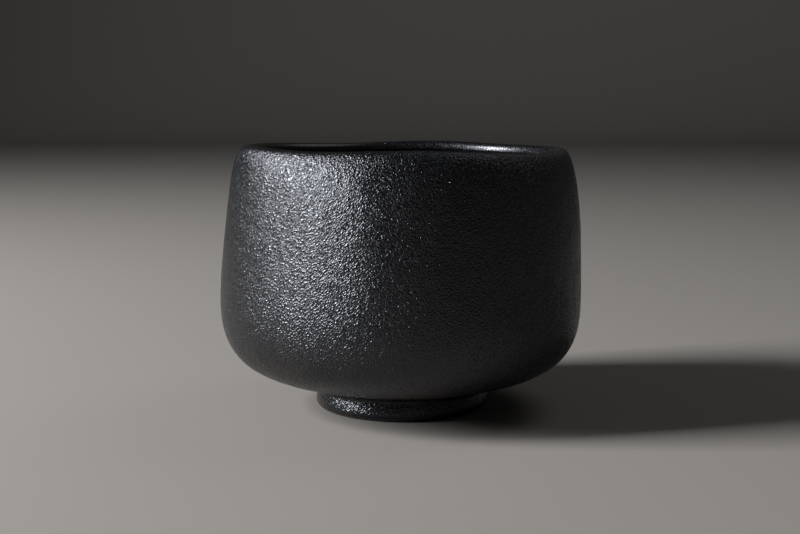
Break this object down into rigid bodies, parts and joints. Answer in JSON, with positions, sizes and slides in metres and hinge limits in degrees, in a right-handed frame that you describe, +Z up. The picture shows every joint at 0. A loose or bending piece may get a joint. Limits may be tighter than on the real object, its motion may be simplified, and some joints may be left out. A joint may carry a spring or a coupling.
{
  "type": "raku tea bowl",
  "caption": "Hand-formed cylindrical tea bowl with soft waist, in-leaning uneven rim, low ring foot and black glaze.",
  "frame": {"origin": "on the table, at the middle of the bowl's outline seen from above, which is the axis of the foot ring", "axes": "+Z up through the mouth; -Y is the side that the picture shows; +X is to its right"},
  "size_m": [0.116, 0.1159, 0.0848],
  "materials": {
    "clay": "matte",
    "outer_glaze": "satin",
    "inner_glaze": "gloss",
    "foot_glaze": "gloss"
  },
  "bodies": {
    "root": {"clay_body": "clay", "foot_ring": "clay", "outer_glaze": "outer_glaze", "inner_glaze": "inner_glaze", "foot_glaze": "foot_glaze", "foot_well_glaze": "foot_glaze"}
  },
  "joints": []
}
